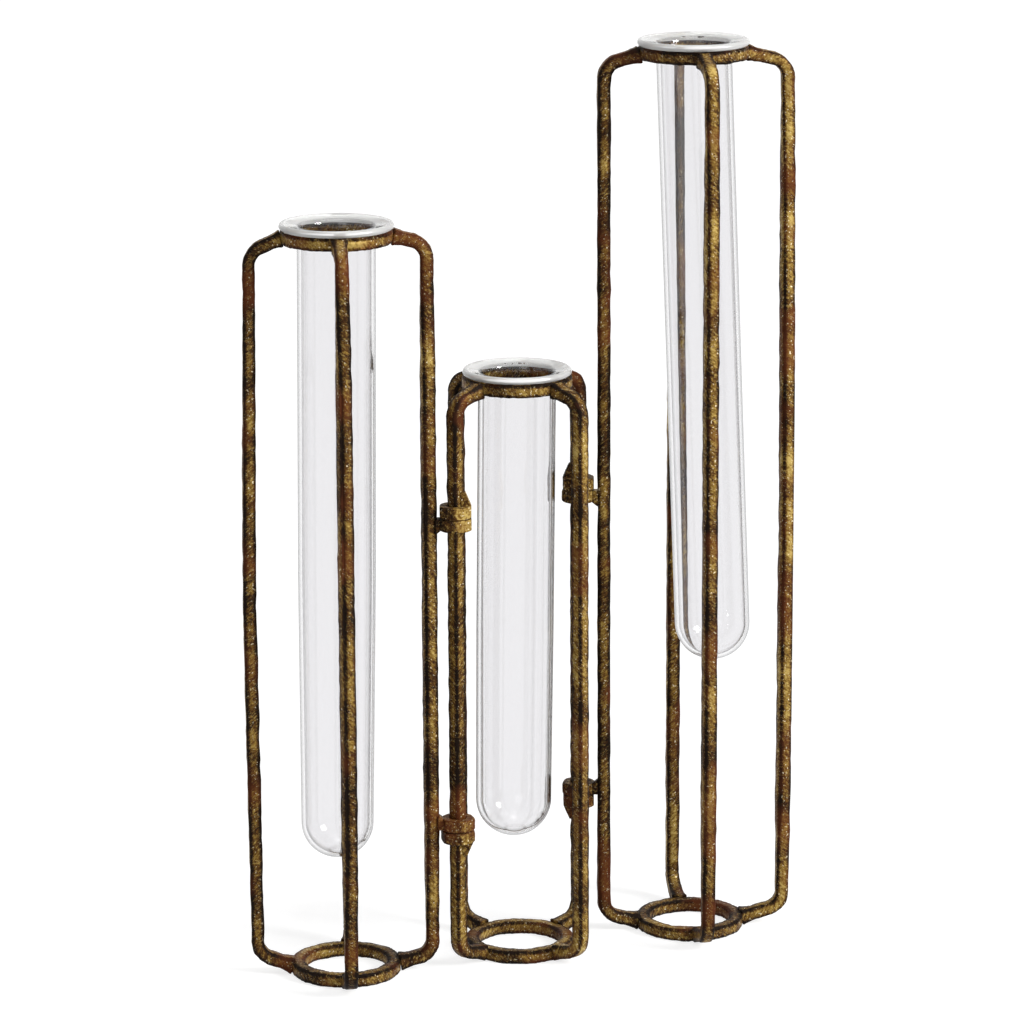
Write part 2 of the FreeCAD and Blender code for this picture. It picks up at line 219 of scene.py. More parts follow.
@dataclass(frozen=True)
class GildedPatina:
    """Antique gold rubbed over dark brown, on metal that still shows its hammer marks.

    All of it follows one level, from 0 for bare dark metal to 1 for bright gold.

    Attributes:
        gilding: Levels at which shadow, umber, brown, gold and bright are reached.
        lightness: The level before the noises move it, each by its weight.
        stroke_rise, glint_rise, rust_rise: Range of the noise over which strokes, painted glints and rust
            come in.
        stroke_gain, glint_gain: How strongly strokes and painted glints show, times the level.
        second_place: Shift of the noise for the painted glints and rust, so that it differs from the patches.
        slant, stretch: Degrees and scale by which tool marks are laid across a bar and drawn out.
        bar_corner, nut_corner: Range of a bar's corner share, and of a nut's pointiness, that is darkened,
            partly as wear and partly as painted shade.
        nut_painted_light, nut_shade: Painted light that lightens a nut's faces turned to its right, and how
            much darker it is all round.
        roughness, polish: Roughness of bare metal, and how far the brightest gold is under it.
        face_fall: Bump by which a bar's face seems to fall away at its corners.
    """

    name: str
    work: Metalwork
    shadow: Colour = srgb(24, 13, 6)
    umber: Colour = srgb(54, 32, 14)
    brown: Colour = srgb(88, 59, 26)
    gold: Colour = srgb(132, 102, 44)
    bright: Colour = srgb(188, 161, 92)
    painted_glint: Colour = srgb(250, 236, 200)
    rust: Colour = srgb(100, 50, 24)
    gilding: Sequence[float] = (0.1, 0.3, 0.48, 0.68, 0.92)
    lightness: float = 0.58
    patch_noise: Noise = Noise(0.07, 3.0, 0.6)
    patch_weight: float = 1.5
    grain_noise: Noise = Noise(1.5, 3.0, 0.65)
    grain_weight: float = 0.75
    mark_noise: Noise = Noise(0.8, 2.0, 0.5, 0.8)
    mark_weight: float = 0.85
    stroke_noise: Noise = Noise(1.5, 1.0, 0.5, 1.2)
    stroke_rise: Pair = (0.55, 0.68)
    stroke_gain: float = 1.1
    glint_noise: Noise = Noise(1.6, 1.0, 0.4)
    glint_rise: Pair = (0.67, 0.75)
    glint_gain: float = 1.4
    rust_noise: Noise = Noise(0.055, 2.0)
    rust_rise: Pair = (0.51, 0.64)
    rust_most: float = 0.6
    second_place: Place = (37.0, 11.0, 53.0)
    slant: float = 38.0
    stretch: Place = (0.5, 1.5, 1.0)
    corner_wear_and_shade: float = 0.6
    bar_corner: Pair = (0.35, 0.95)
    nut_corner: Pair = (0.52, 0.58)
    nut_painted_light: float = 0.24
    nut_shade: float = 0.17
    metallic_share: float = 0.3
    roughness: float = 0.58
    polish: float = 0.22
    specular: float = 0.07
    bump_share: float = 0.5
    face_fall: float = 3.4
    bump_depth: float = 0.22 * MM

    def material(self) -> Finish:
        """Builds the finish.

        Returns:
            The new material.
        """
        made = bpy.data.materials.new(self.name)
        nodes = NodeTree(made)
        place = nodes.add("TexCoord").outputs["Object"]
        metric = nodes.mapped(place, "Scale", (1 / MM,) * 3)
        slanted = self.slanted(nodes, metric)
        patches = nodes.noise(metric, self.patch_noise)
        grain = nodes.noise(metric, self.grain_noise)
        marks = nodes.noise(slanted, self.mark_noise)
        level = self.level(nodes, patches, grain, marks)
        relief = nodes.math("MULTIPLY", nodes.math("ADD", marks, grain), self.bump_share)
        height = nodes.math("SUBTRACT", relief, self.fall(nodes))
        bump = nodes.add("Bump", {"Height": height, "Distance": self.bump_depth, "Strength": 1.0})
        shader = nodes.add("BsdfPrincipled", {
            "Base Color": self.colour(nodes, level, metric, slanted),
            "Metallic": nodes.math("MULTIPLY", level, self.metallic_share),
            "Roughness": nodes.math("MULTIPLY_ADD", level, -self.polish, self.roughness),
            "Specular IOR Level": self.specular,
            "Normal": bump.outputs[0]})
        nodes.add("OutputMaterial", {"Surface": shader.outputs[0]})
        return made

    def slanted(self, nodes: NodeTree, metric: Socket) -> Socket:
        """Coordinates in which the tool marks run slantwise over every face of a bar.

        Args:
            nodes: The material's nodes.
            metric: Object coordinates in millimetres.

        Returns:
            The vector for the marks' noise.
        """
        if self.work is Metalwork.NUT:
            return metric
        lay = nodes.stored("lay", "Vector")
        turned = nodes.mapped(lay, "Rotation", (0.0, 0.0, math.radians(self.slant)))
        return nodes.mapped(turned, "Scale", self.stretch)

    def level(self, nodes: NodeTree, patches: Socket, grain: Socket, marks: Socket) -> Socket:
        """How much gold lies at a place, less the painted shade at its corners and, on a nut, with painted
        light on its right side.

        Args:
            nodes: The material's nodes.
            patches, grain, marks: The noises that move the level.

        Returns:
            The level, as a share.
        """
        level = nodes.math("ADD", self.tone(nodes), self.lightness)
        for texture, weight in ((patches, self.patch_weight), (grain, self.grain_weight),
                                (marks, self.mark_weight)):
            level = nodes.math("MULTIPLY_ADD", nodes.math("SUBTRACT", texture, 0.5), weight, level)
        # Corners darkened: part the gold rubbed off them, part painted shade along the edges.
        worn_and_shaded = nodes.math("MULTIPLY", self.corner(nodes), self.corner_wear_and_shade)
        return nodes.math("SUBTRACT", level, worn_and_shaded, clamp=True)

    def tone(self, nodes: NodeTree) -> Socket:
        """How much lighter or darker than the rest this place is coloured.

        Args:
            nodes: The material's nodes.

        Returns:
            A bar's own tone, or on a nut painted light on the faces turned to its right, less an even
            darkening.
        """
        if self.work is not Metalwork.NUT:
            return nodes.stored("tone")
        # Painted light: a nut's faces are lightened the more they turn to +X, where the key lamp stands, and
        # darkened on the other side.
        normal = nodes.add("TexCoord").outputs["Normal"]
        rightward = nodes.add("SeparateXYZ", {0: normal}).outputs["X"]
        return nodes.math("SUBTRACT", nodes.math("MULTIPLY", rightward, self.nut_painted_light), self.nut_shade)

    def corner(self, nodes: NodeTree) -> Socket:
        """Where the corners are darkened: partly gold rubbed off, partly painted shade along the edges.

        Args:
            nodes: The material's nodes.

        Returns:
            A share from 0 in the middle of a face to 1 at its corners.
        """
        if self.work is Metalwork.NUT:
            pointed = nodes.add("NewGeometry").outputs["Pointiness"]
            return nodes.mask(pointed, self.nut_corner)
        return nodes.mask(nodes.stored("corner"), self.bar_corner)

    def colour(self, nodes: NodeTree, level: Socket, metric: Socket, slanted: Socket) -> Socket:
        """Gilding with its bright strokes, its rust, and painted glints on its brightest gold.

        Args:
            nodes: The material's nodes.
            level: How much gold lies at a place, with the painted light and shade in it.
            metric: Object coordinates in millimetres.
            slanted: Coordinates of the tool marks.

        Returns:
            The colour.
        """
        second = nodes.mapped(metric, "Location", self.second_place)
        strokes = nodes.mask(nodes.noise(slanted, self.stroke_noise), self.stroke_rise)
        # Painted highlight: near-white glints laid over the gold, the more the more gold there is.
        painted_glints = nodes.mask(nodes.noise(second, self.glint_noise), self.glint_rise)
        rusty = nodes.mask(nodes.noise(second, self.rust_noise), self.rust_rise, self.rust_most)
        metal = (self.shadow, self.umber, self.brown, self.gold, self.bright)
        gilded = nodes.ramp(level, tuple(zip(self.gilding, metal)))
        stroked = nodes.mix(self.on_gold(nodes, strokes, level, self.stroke_gain), gilded, self.bright)
        reddened = nodes.mix(rusty, stroked, self.rust)
        return nodes.mix(self.on_gold(nodes, painted_glints, level, self.glint_gain), reddened, self.painted_glint)

    def on_gold(self, nodes: NodeTree, share: Socket, level: Socket, gain: float) -> Socket:
        """A share of bright marks that shows the more, the more gold there is."""
        return nodes.math("MULTIPLY", share, nodes.math("MULTIPLY", level, gain), clamp=True)

    def fall(self, nodes: NodeTree) -> object:
        """How far a face falls away towards its corners, in units of the bump's depth.

        Args:
            nodes: The material's nodes.

        Returns:
            A socket on a bar, and 0 on a nut.
        """
        if self.work is Metalwork.NUT:
            return 0.0
        share = nodes.stored("corner")
        return nodes.math("MULTIPLY", nodes.math("MULTIPLY", share, share), self.face_fall)


@dataclass(frozen=True)
class ClearGlass:
    """Clear laboratory glass, faintly grey where it is seen through, with painted dark reflection along its
    walls where they are seen edge on.

    Attributes:
        tint, edge: Colour where the glass faces the eye, and the painted dark reflection where it is seen
            edge on.
        painted_edge_start, painted_edge_end: Range of Layer Weight's facing over which the tint goes to that
            painted edge colour.
    """

    name: str
    tint: Colour = (0.868, 0.864, 0.874, 1.0)
    edge: Colour = (0.09, 0.092, 0.095, 1.0)
    painted_edge_start: float = 0.58
    painted_edge_end: float = 0.8
    facing_blend: float = 0.5
    transmission: float = 1.0
    ior: float = 1.5

    def material(self) -> Finish:
        """Builds the glass.

        Returns:
            The new material.
        """
        made = bpy.data.materials.new(self.name)
        nodes = NodeTree(made)
        facing = nodes.add("LayerWeight", {"Blend": self.facing_blend}).outputs["Facing"]
        # Painted reflection: the colour darkens towards the edge's colour where the glass is seen edge on.
        colour = nodes.ramp(facing, (
            (0.0, self.tint), (self.painted_edge_start, self.tint), (self.painted_edge_end, self.edge)))
        shader = nodes.add("BsdfPrincipled", {
            "Base Color": colour, "Roughness": 0.0, "IOR": self.ior,
            "Transmission Weight": self.transmission})
        nodes.add("OutputMaterial", {"Surface": shader.outputs[0]})
        return made


def select_only(piece: Piece) -> None:
    """Selects one object alone and makes it the active one."""
    bpy.ops.object.select_all(action="DESELECT")
    bpy.context.view_layer.objects.active = piece
    piece.select_set(True)


def start_edit(piece: Piece) -> None:
    """Opens one object in edit mode with everything selected."""
    select_only(piece)
    bpy.ops.object.mode_set(mode="EDIT")
    bpy.ops.mesh.select_all(action="SELECT")


def close_shell(seam: float = 0.0) -> None:
    """Turns all faces of the edited mesh outwards and goes back to object mode.

    Args:
        seam: Distance under which doubled points are merged first, or 0 where there are none.
    """
    bpy.ops.mesh.select_all(action="SELECT")
    if seam:
        bpy.ops.mesh.remove_doubles(threshold=seam)
    bpy.ops.mesh.normals_make_consistent(inside=False)
    bpy.ops.object.mode_set(mode="OBJECT")


def add_primitive(operator: Callable[..., object], name: str, **settings: object) -> Piece:
    """Adds a primitive with nothing else selected.

    Args:
        operator: The operator that adds it.
        name: The name of the new object.
        **settings: Its size and place.

    Returns:
        The new object.
    """
    bpy.ops.object.select_all(action="DESELECT")
    operator(**settings)
    piece = bpy.context.active_object
    piece.name = name
    piece.data.name = name
    return piece


def modify(piece: Piece, kind: str, live: bool = False, **settings: object) -> None:
    """Adds a modifier to a piece and applies it.

    Args:
        piece: The piece to change.
        kind: The modifier's type.
        live: Whether it is left live, as on a ready node, whose own mesh stays.
        **settings: Its properties.
    """
    modifier = piece.modifiers.new(kind.lower(), kind)
    for name, value in settings.items():
        setattr(modifier, name, value)
    if not live:
        select_only(piece)
        bpy.ops.object.modifier_apply(modifier=modifier.name)


def settle(piece: Piece) -> None:
    """Moves a piece's place, turn and scale into its mesh."""
    select_only(piece)
    bpy.ops.object.transform_apply(location=True, rotation=True, scale=True)


@dataclass(frozen=True)
class Hammering:
    """Dents that a hammer leaves: broad ones that waver an outline and fine ones over the faces.

    Attributes:
        room: Lowest and highest corner of the whole vase, which no dent passes.
        proud: Share of a dent's depth that stands out and not in.
        nut_share: How deep the dents of a nut are against those of a bar.
    """

    room: Tuple[Vector, Vector]
    broad_size: float = 5.0 * MM
    broad_depth: float = 0.45 * MM
    fine_size: float = 1.1 * MM
    fine_depth: float = 0.3 * MM
    proud: float = 0.4
    nut_share: float = 0.4
    seam: float = 0.002 * MM

    def textures(self) -> List[Tuple[bpy.types.Texture, float]]:
        """The dents as textures.

        Returns:
            Each texture with the depth of its dents.
        """
        made = []
        for name, size, depth in (("broad_dents", self.broad_size, self.broad_depth),
                                  ("fine_dents", self.fine_size, self.fine_depth)):
            texture = bpy.data.textures.get(name) or bpy.data.textures.new(name, "CLOUDS")
            texture.noise_scale = size
            texture.noise_depth = 1
            made.append((texture, depth))
        return made

    def dent(self, piece: Piece) -> None:
        """Hammers a modelled piece, and keeps it inside the room of the whole vase.

        Args:
            piece: The settled piece.
        """
        for texture, depth in self.textures():
            modify(piece, "DISPLACE", texture=texture, strength=-depth, mid_level=self.proud,
                   texture_coords="LOCAL")
        for vertex in piece.data.vertices:
            vertex.co = [min(max(value, least), most)
                         for value, least, most in zip(vertex.co, *self.room)]

    def dent_node(self, piece: Piece, grain: float, growth: float) -> None:
        """Hammers a ready node without touching its own mesh.

        Args:
            piece: The node's object.
            grain: Size of the facets that carry the dents.
            growth: Thickness that weld metal adds all round, or 0.
        """
        modify(piece, "WELD", live=True, merge_threshold=self.seam)
        modify(piece, "REMESH", live=True, mode="VOXEL", voxel_size=grain, use_smooth_shade=True)
        if growth:
            modify(piece, "DISPLACE", live=True, strength=growth, mid_level=0.0)
        for texture, depth in self.textures():
            modify(piece, "DISPLACE", live=True, texture=texture, strength=-depth * self.nut_share,
                   mid_level=self.proud, texture_coords="LOCAL")


@dataclass(frozen=True)
class SquareStock:
    """The square bar that everything is made of.

    Attributes:
        corner_angle: Degrees above which an edge is a corner to round.
        bend_radius: Radius of the middle line where the bar is bent.
        face_cuts, step: Cuts across each face, and their length along it, so that it can carry dents.
    """

    side: float = 4.2 * MM
    corner: float = 0.8 * MM
    corner_angle: float = 50.0
    corner_segments: int = 3
    bend_radius: float = 6.0 * MM
    face_cuts: int = 5
    step: float = 0.55 * MM

    def round_corners(self, piece: Piece) -> None:
        """Rounds the long corners of a piece of bar."""
        modify(piece, "BEVEL", width=self.corner, segments=self.corner_segments,
               limit_method="ANGLE", angle_limit=math.radians(self.corner_angle))


@dataclass(kw_only=True)
class ForgedPiece:
    """A piece of square bar that stands for one node of a cage."""

    node: str
    body: str
    stock: SquareStock
    hammering: Hammering
    finish: Finish
    tone: float

    def write_lay(self, piece: Piece, lays: Sequence[Lay], half: float) -> None:
        """Stores where each point lies on its bar, and the bar's tone.

        Args:
            piece: The bar or ring.
            lays: For each point its two offsets from the bar's middle line, its distance along that line
                and a start value that tells bars apart.
            half: Half the side of the bar.
        """
        corner = piece.data.attributes.new("corner", "FLOAT", "POINT")
        corner.data.foreach_set("value", [min(abs(across), abs(up)) / half for across, up, _, _ in lays])
        lay = piece.data.attributes.new("lay", "FLOAT_VECTOR", "POINT")
        lay.data.foreach_set("vector", [value for across, up, along, start in lays
                                        for value in ((across + up) / MM, along / MM, start)])
        shade = piece.data.attributes.new("tone", "FLOAT", "POINT")
        shade.data.foreach_set("value", [self.tone] * len(lays))

    def set_in_place(self, piece: Piece, place: Vector, turn: float = 0.0) -> None:
        """Sets a piece in its place in the vase, hammers it there and gilds it.

        Args:
            piece: The shaped piece, drawn about the origin.
            place: Where the origin of its drawing goes.
            turn: Degrees that it turns about its upright axis.
        """
        piece.rotation_euler.z = math.radians(turn)
        piece.location = place
        settle(piece)
        self.hammering.dent(piece)
        piece.data.shade_smooth()
        piece.data.materials.append(self.finish)


@dataclass(frozen=True)
class BarPlan:
    """Where one bar of a cage stands, and how it was bent.

    Attributes:
        name: Its name in the cage.
        angle: Compass angle of its upright about the cage's axis, in degrees.
        reach: Distance of its upright from that axis, half way up.
        slope: Degrees by which its ends rise from the rings.
        lower_share, upper_share: How far out its bends are, as shares of the reach.
        twist: Degrees by which its upright is twisted.
        tone: How much lighter or darker than the rest it is gilded.
    """

    name: str
    angle: float
    reach: float
    slope: float
    lower_share: float = 1.0
    upper_share: float = 1.0
    twist: float = 0.0
    tone: float = -0.05


MIDDLE_BEND = {"reach": 27.3 * MM, "slope": 14.0}
BARS: Dict[str, Sequence[BarPlan]] = {
    "left": (
        BarPlan("right", 4.9, 27.44 * MM, slope=12.0, twist=17.0),
        BarPlan("back", 89.4, 28.0 * MM, slope=14.0),
        BarPlan("left", 184.7, 28.56 * MM, slope=19.0, lower_share=0.972, upper_share=0.937, twist=4.0,
                tone=-0.12),
        BarPlan("front", 275.4, 28.0 * MM, slope=14.0, twist=24.0, tone=-0.12)),
    "middle": (
        BarPlan("back_right", 45.0, **MIDDLE_BEND),
        BarPlan("back_left", 135.0, **MIDDLE_BEND),
        BarPlan("front_left", 225.0, tone=-0.11, **MIDDLE_BEND),
        BarPlan("front_right", 315.0, tone=-0.03, **MIDDLE_BEND)),
    "right": (
        BarPlan("right", 6.9, 30.864 * MM, slope=13.0, lower_share=0.984, upper_share=0.968, twist=18.0,
                tone=0.03),
        BarPlan("back", 99.1, 29.2 * MM, slope=15.0),
        BarPlan("left", 187.5, 28.207 * MM, slope=14.0, twist=-6.0, tone=-0.12),
        BarPlan("front", 279.3, 29.404 * MM, slope=15.0, twist=14.0, tone=-0.03))}


@dataclass(kw_only=True)
class BentBar(ForgedPiece):
    """One bar of a cage: a sloping end welded to each ring, a bend, and the upright between.

    It is drawn with its cage's axis at X 0 and its upright over +X.

    Attributes:
        centre, height: Foot of the cage's axis, and the height of its top.
        ring_radius, ring_height: Outside of the rings that it is welded to.
        seat_inset, seat_bite: How far in from the ring's middle height, and into its side, its end sits.
        weld_rise, weld_run: Swelling of the weld on each side, and its length.
        weld_curve: Power by which the weld thins out.
        arm_stretch: How much longer the cuts of the sloping ends are than those of the upright.
        twist_run: Length over which a twist comes in at each end of the upright.
    """

    plan: BarPlan
    centre: Vector
    height: float
    ring_radius: float
    ring_height: float
    seat_inset: float = 0.4 * MM
    seat_bite: float = 0.5 * MM
    weld_rise: float = 0.6 * MM
    weld_run: float = 4.2 * MM
    weld_curve: float = 1.5
    weld_steps: int = 7
    arm_stretch: float = 1.4
    bend_steps: int = 14
    twist_run: float = 40.0 * MM

    def __post_init__(self) -> None:
        """Works out the middle line's turning points and the weld's swelling."""
        radius = self.stock.bend_radius
        self.rise = math.radians(self.plan.slope)
        self.bend_turn = math.pi / 2 - self.rise
        self.start = self.ring_radius - self.seat_bite
        self.seat = self.ring_height / 2 + self.seat_inset
        self.bend_centre = self.plan.reach - radius
        tangent = self.bend_centre + radius * math.sin(self.rise)
        self.arm = (tangent - self.start) / math.cos(self.rise)
        self.bend_height = self.seat + self.arm * math.sin(self.rise) + radius * math.cos(self.rise)
        self.upright = self.height - 2 * self.bend_height
        self.swell = 1 + 2 * self.weld_rise / self.stock.side

    def build(self) -> Piece:
        """Draws the bar out from its lower weld to its upper one, hammers it and sets it in its cage.

        Returns:
            The finished bar.
        """
        bar = add_primitive(bpy.ops.mesh.primitive_plane_add, f"{self.node}_forged",
                            size=self.stock.side * self.swell, location=(self.start, 0, self.seat),
                            rotation=(0, self.bend_turn, 0))
        settle(bar)
        start_edit(bar)
        bpy.ops.mesh.subdivide(number_cuts=self.stock.face_cuts)
        outward = Vector((math.cos(self.rise), 0, math.sin(self.rise)))
        inward = Vector((-outward.x, 0, outward.z))
        upper_end = Vector((self.start, 0, self.height - self.seat))
        self.draw_arm(Vector((self.start, 0, self.seat)), outward, weld_first=True)
        self.draw_bend(self.bend_height)
        bpy.ops.mesh.extrude_region_move(TRANSFORM_OT_translate={"value": (0, 0, self.upright)})
        self.draw_bend(self.height - self.bend_height)
        self.draw_arm(upper_end - inward * self.arm, inward, weld_first=False)
        self.cut_upright(bar)
        close_shell()
        self.stock.round_corners(bar)
        self.write_lay(bar, [self.lay(vertex.co) for vertex in bar.data.vertices], self.stock.side / 2)
        for vertex in bar.data.vertices:
            vertex.co = self.forge(vertex.co)
        self.set_in_place(bar, self.centre, self.plan.angle)
        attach(bar, self.body)
        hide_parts(self.node)
        return bar

    def draw_arm(self, foot: Vector, heading: Vector, weld_first: bool) -> None:
        """Extrudes a sloping end, swollen where it is welded.

        Args:
            foot: Where the middle line of this end begins.
            heading: The way it goes.
            weld_first: Whether its weld is where it begins, not where it ends.
        """
        plain = self.arm - self.weld_run
        count = max(1, round(plain / self.stock.step / self.arm_stretch))
        steps = [self.weld_run / self.weld_steps] * self.weld_steps + [plain / count] * count
        if not weld_first:
            steps.reverse()
        travelled = 0.0
        swell = self.swell if weld_first else 1.0
        for step in steps:
            travelled += step
            bpy.ops.mesh.extrude_region_move(TRANSFORM_OT_translate={"value": heading * step})
            from_ring = travelled if weld_first else self.arm - travelled
            share = max(0.0, 1 - from_ring / self.weld_run)
            wanted = 1 + (self.swell - 1) * share ** self.weld_curve
            middle = foot + heading * travelled
            bpy.ops.transform.resize(value=(wanted / swell,) * 3, center_override=middle)
            swell = wanted

    def draw_bend(self, height: float) -> None:
        """Spins the end face round a bend at a height."""
        bpy.ops.mesh.spin(steps=self.bend_steps, angle=self.bend_turn, center=(self.bend_centre, 0, height),
                          axis=(0, 1, 0))

    def cut_upright(self, bar: Piece) -> None:
        """Cuts the long faces of the upright into short ones that can carry dents.

        Args:
            bar: The drawn bar, in edit mode.
        """
        bpy.ops.mesh.select_all(action="DESELECT")
        bpy.ops.mesh.select_mode(type="EDGE")
        bpy.ops.object.mode_set(mode="OBJECT")
        for edge in bar.data.edges:
            ends = [bar.data.vertices[index].co for index in edge.vertices]
            edge.select = (ends[0] - ends[1]).length > self.upright / 2
        bpy.ops.object.mode_set(mode="EDIT")
        bpy.ops.mesh.subdivide(number_cuts=round(self.upright / self.stock.step))
        bpy.ops.mesh.select_mode(type="VERT")

    def forge(self, point: Vector) -> Vector:
        """Where a point of the straight bar comes to lie once its upright is twisted and bowed.

        Args:
            point: The point of the drawn bar.

        Returns:
            The point's new place.
        """
        half = self.height / 2
        run = half - self.bend_height
        from_middle = abs(point.z - half)
        inside = held((run - from_middle) / self.twist_run)
        turn = Matrix.Rotation(math.radians(self.plan.twist) * inside * inside * (3 - 2 * inside), 3, "Z")
        axis = Vector((self.plan.reach, 0, point.z))
        moved = turn @ (point - axis) + axis
        share = self.plan.lower_share if point.z < half else self.plan.upper_share
        bow = (1 - share) * self.plan.reach * min(1.0, from_middle / run)
        moved.x -= bow * held((moved.x - self.start) / (self.plan.reach - self.start))
        return moved

    def lay(self, point: Vector) -> Lay:
        """Where a point lies on the bar.

        Args:
            point: The point of the drawn bar.

        Returns:
            Its offsets across and up from the middle line, its distance along it and its start value.
        """
        below = point.z < self.height / 2
        z = point.z if below else self.height - point.z
        radius = self.stock.bend_radius
        bend = radius * self.bend_turn
        out, drop = point.x - self.bend_centre, self.bend_height - z
        turned = math.atan2(out, drop)
        if z >= self.bend_height:
            up, along = point.x - self.plan.reach, self.arm + bend + z - self.bend_height
        elif turned >= self.rise:
            up, along = math.hypot(out, drop) - radius, self.arm + radius * (turned - self.rise)
        else:
            gone, risen = point.x - self.start, z - self.seat
            up = gone * math.sin(self.rise) - risen * math.cos(self.rise)
            along = gone * math.cos(self.rise) + risen * math.sin(self.rise)
        whole = 2 * (self.arm + bend) + self.upright
        return (point.y, up, along if below else whole - along, self.plan.angle + self.plan.reach / MM)


@dataclass(kw_only=True)
class RoundRing(ForgedPiece):
    """A ring of square bar at the top or the foot of a cage.

    Attributes:
        wall: Width of the bar from the ring's inside to its outside.
    """

    tone: float = -0.04
    wall: float = 4.3 * MM
    steps: int = 220
    seam: float = 0.01 * MM

    def build(self) -> Piece:
        """Spins a square into a ring, rounds it and hammers it.

        Returns:
            The finished ring.
        """
        low, high = (Vector(corner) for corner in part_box(self.node))
        height = high.z - low.z
        radius = (high.x - low.x) / 2 - self.wall / 2
        ring = add_primitive(bpy.ops.mesh.primitive_plane_add, f"{self.node}_forged", size=1,
                             location=(radius, 0, 0), rotation=(math.pi / 2, 0, 0))
        ring.scale = (self.wall, height, 1)
        settle(ring)
        start_edit(ring)
        bpy.ops.mesh.delete(type="ONLY_FACE")
        bpy.ops.mesh.select_all(action="SELECT")
        bpy.ops.mesh.subdivide(number_cuts=self.stock.face_cuts)
        bpy.ops.mesh.spin(steps=self.steps, angle=math.tau, center=(0, 0, 0), axis=(0, 0, 1))
        close_shell(self.seam)
        self.stock.round_corners(ring)
        self.write_lay(ring, [self.lay(vertex.co, radius) for vertex in ring.data.vertices], height / 2)
        self.set_in_place(ring, (low + high) / 2)
        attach(ring, self.body)
        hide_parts(self.node)
        return ring

    def lay(self, point: Vector, radius: float) -> Lay:
        """Where a point lies on the ring, as for a bar, with the ring's radius as its start value."""
        along = math.atan2(point.y, point.x) * radius
        return (math.hypot(point.x, point.y) - radius, point.z, along, radius / MM)


@dataclass
class Cage:
    """One cage: two rings and the bars between them."""

    name: str
    bars: Sequence[BarPlan]
    stock: SquareStock
    hammering: Hammering
    finish: Finish

    def build(self) -> List[Piece]:
        """Builds the cage's rings and bars.

        Returns:
            The finished pieces.
        """
        shared = {"body": f"{self.name}_cage", "stock": self.stock, "hammering": self.hammering,
                  "finish": self.finish}
        made = []
        for level in ("bottom", "top"):
            made.append(RoundRing(node=f"{self.name}_{level}_ring", **shared).build())
        low, high = (Vector(corner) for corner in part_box(f"{self.name}_bottom_ring"))
        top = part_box(f"{self.name}_top_ring")[1][2]
        centre = (low + high) / 2
        centre.z = 0
        for plan in self.bars:
            made.append(BentBar(
                node=f"{self.name}_bar_{plan.name}", plan=plan, tone=plan.tone, centre=centre, height=top,
                ring_radius=(high.x - low.x) / 2, ring_height=high.z - low.z, **shared).build())
        return made


@dataclass
class Hinge:
    """Two levels of stacked nuts, each a welded collar, a turning knuckle and its link.

    Attributes:
        grain: Size of the facets that carry the dents.
        pieces: Each piece of a level, with the thickness that weld metal adds to it.
    """

    side: str
    hammering: Hammering
    finish: Finish
    grain: float = 0.17 * MM
    pieces: Sequence[Tuple[str, float]] = (("collar", 0.0), ("knuckle", 0.0), ("link", 0.3 * MM))

    def dress(self) -> List[Piece]:
        """Hammers and gilds the hinge's nodes.

        Returns:
            The dressed nodes.
        """
        made = []
        for level in ("upper", "lower"):
            for piece, growth in self.pieces:
                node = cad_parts[f"{level}_{self.side}_{piece}"]
                self.hammering.dent_node(node, self.grain, growth)
                node.data.materials.clear()
                node.data.materials.append(self.finish)
                made.append(node)
        return made


